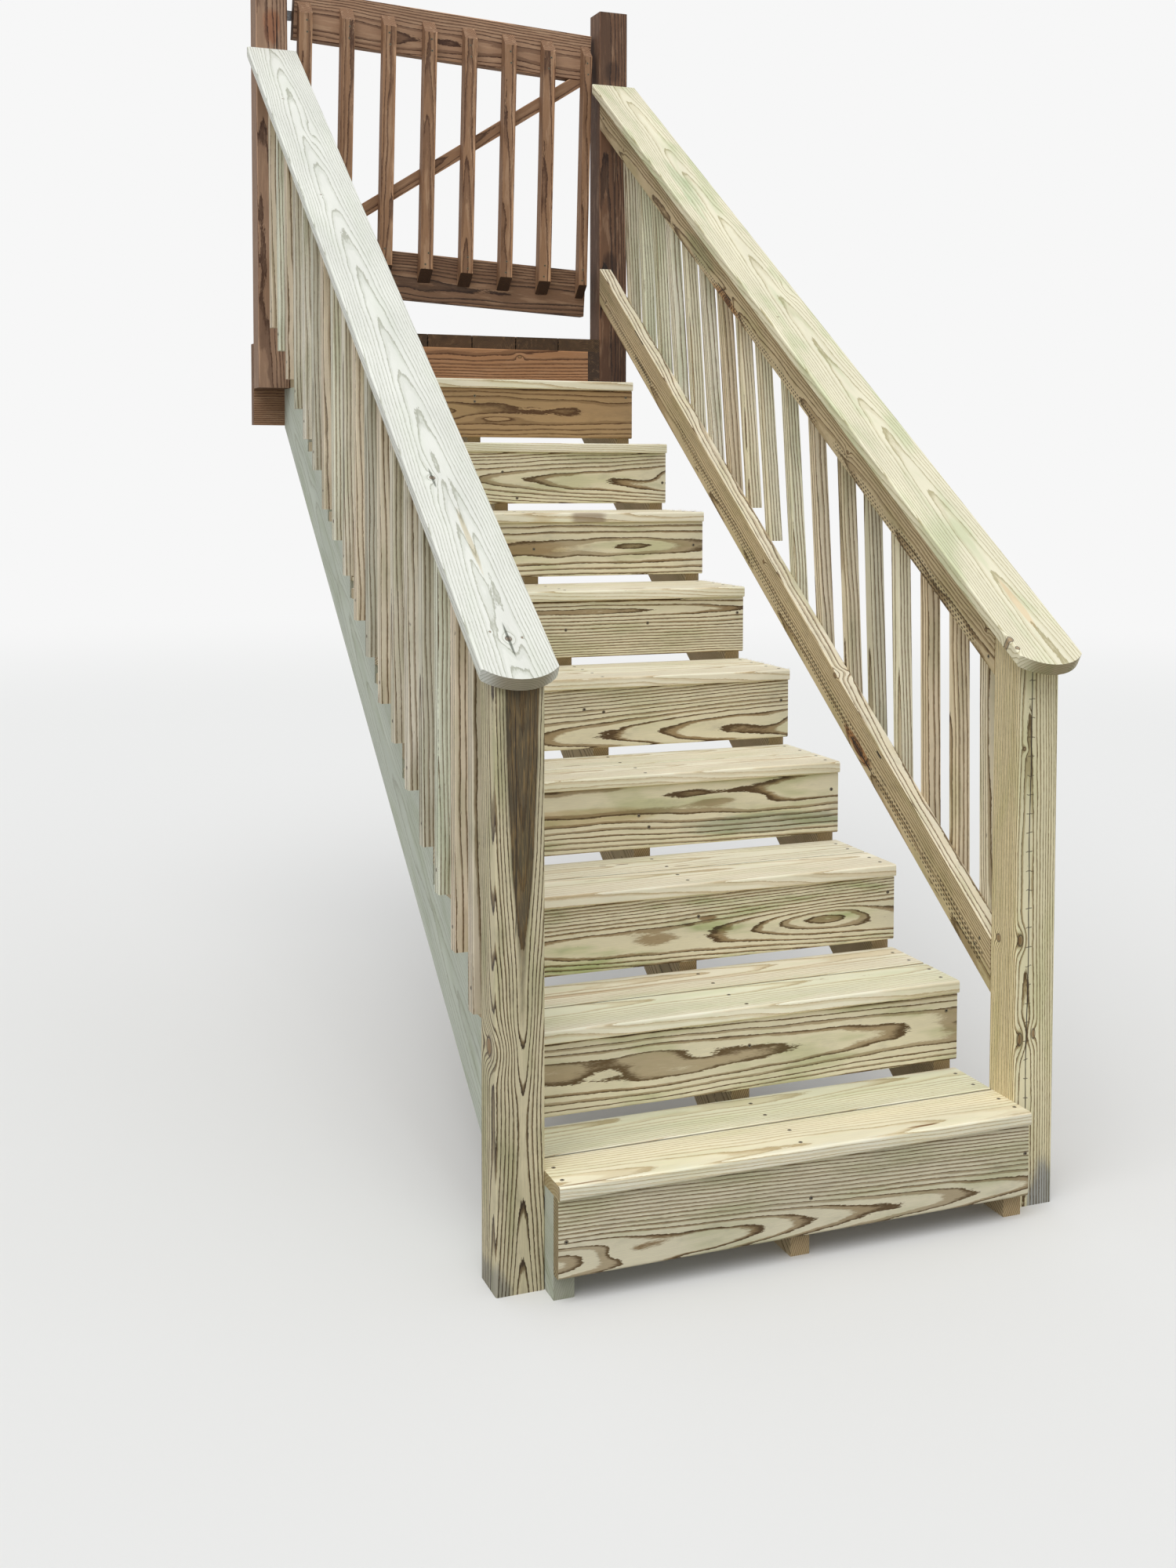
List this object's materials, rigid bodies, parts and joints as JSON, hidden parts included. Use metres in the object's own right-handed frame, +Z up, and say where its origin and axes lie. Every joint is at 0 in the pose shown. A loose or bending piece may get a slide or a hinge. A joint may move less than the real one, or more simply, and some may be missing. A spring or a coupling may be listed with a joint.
{
  "type": "wooden deck stairs",
  "caption": "Straight flight of wooden deck stairs with notched stringers, handrails with square balusters and a hinged gate at the head.",
  "frame": {"origin": "centre of the flat back face of the deck's rim board, which the stairs are fastened by", "axes": "+X to the right seen from the foot of the stairs, +Y up the flight towards the deck, +Z up"},
  "size_m": [1.1758, 2.5172, 2.8206],
  "materials": {
    "left_stringer": "rough sawn new treated pine",
    "centre_stringer": "rough sawn new treated pine",
    "right_stringer": "rough sawn new treated pine",
    "tread_1": "planed new treated pine",
    "riser_1": "planed new treated pine",
    "tread_2": "planed new treated pine",
    "riser_2": "planed new treated pine",
    "tread_3": "planed new treated pine",
    "riser_3": "planed new treated pine",
    "tread_4": "planed new treated pine",
    "riser_4": "planed new treated pine",
    "tread_5": "planed new treated pine",
    "riser_5": "planed new treated pine",
    "tread_6": "planed new treated pine",
    "riser_6": "planed new treated pine",
    "tread_7": "planed new treated pine",
    "riser_7": "planed new treated pine",
    "tread_8": "planed new treated pine",
    "riser_8": "planed new treated pine",
    "tread_9": "planed new treated pine",
    "riser_9": "planed new treated pine",
    "left_newel_post": "planed new treated pine",
    "left_handrail_cap": "planed new treated pine",
    "left_top_rail": "planed new treated pine",
    "left_bottom_rail": "planed new treated pine",
    "left_balusters": "planed new treated pine",
    "left_head_post": "old stained softwood",
    "left_head_block": "old weathered softwood",
    "right_newel_post": "planed new treated pine",
    "right_handrail_cap": "planed new treated pine",
    "right_top_rail": "planed new treated pine",
    "right_bottom_rail": "planed new treated pine",
    "right_balusters": "planed new treated pine",
    "right_head_post": "old stained softwood",
    "right_head_block": "old weathered softwood",
    "head_fascia": "old stained softwood",
    "deck_rim": "old stained softwood",
    "deck_board_ends": "old weathered end grain",
    "gate_top_rail": "old stained softwood",
    "gate_bottom_rail": "old stained softwood",
    "gate_balusters": "old stained softwood",
    "gate_brace": "old stained softwood",
    "post_hinge_plates": "dull galvanised",
    "gate_hinge_straps": "dull galvanised"
  },
  "bodies": {
    "stairs": {"left_stringer": "left_stringer", "centre_stringer": "centre_stringer", "right_stringer": "right_stringer", "tread_1": "tread_1", "riser_1": "riser_1", "tread_2": "tread_2", "riser_2": "riser_2", "tread_3": "tread_3", "riser_3": "riser_3", "tread_4": "tread_4", "riser_4": "riser_4", "tread_5": "tread_5", "riser_5": "riser_5", "tread_6": "tread_6", "riser_6": "riser_6", "tread_7": "tread_7", "riser_7": "riser_7", "tread_8": "tread_8", "riser_8": "riser_8", "tread_9": "tread_9", "riser_9": "riser_9", "left_newel_post": "left_newel_post", "left_handrail_cap": "left_handrail_cap", "left_top_rail": "left_top_rail", "left_bottom_rail": "left_bottom_rail", "left_balusters": "left_balusters", "left_head_post": "left_head_post", "left_head_block": "left_head_block", "right_newel_post": "right_newel_post", "right_handrail_cap": "right_handrail_cap", "right_top_rail": "right_top_rail", "right_bottom_rail": "right_bottom_rail", "right_balusters": "right_balusters", "right_head_post": "right_head_post", "right_head_block": "right_head_block", "head_fascia": "head_fascia", "deck_rim": "deck_rim", "deck_board_ends": "deck_board_ends", "post_hinge_plates": "post_hinge_plates"},
    "gate": {"gate_top_rail": "gate_top_rail", "gate_bottom_rail": "gate_bottom_rail", "gate_balusters": "gate_balusters", "gate_brace": "gate_brace", "gate_hinge_straps": "gate_hinge_straps"}
  },
  "joints": [
    {"name": "gate_hinge", "type": "hinge", "parent": "stairs", "child": "gate", "pos_m": [-0.466, -0.03, 0.6], "axis": [0, 0, 1], "range_deg": [0, 170]}
  ]
}
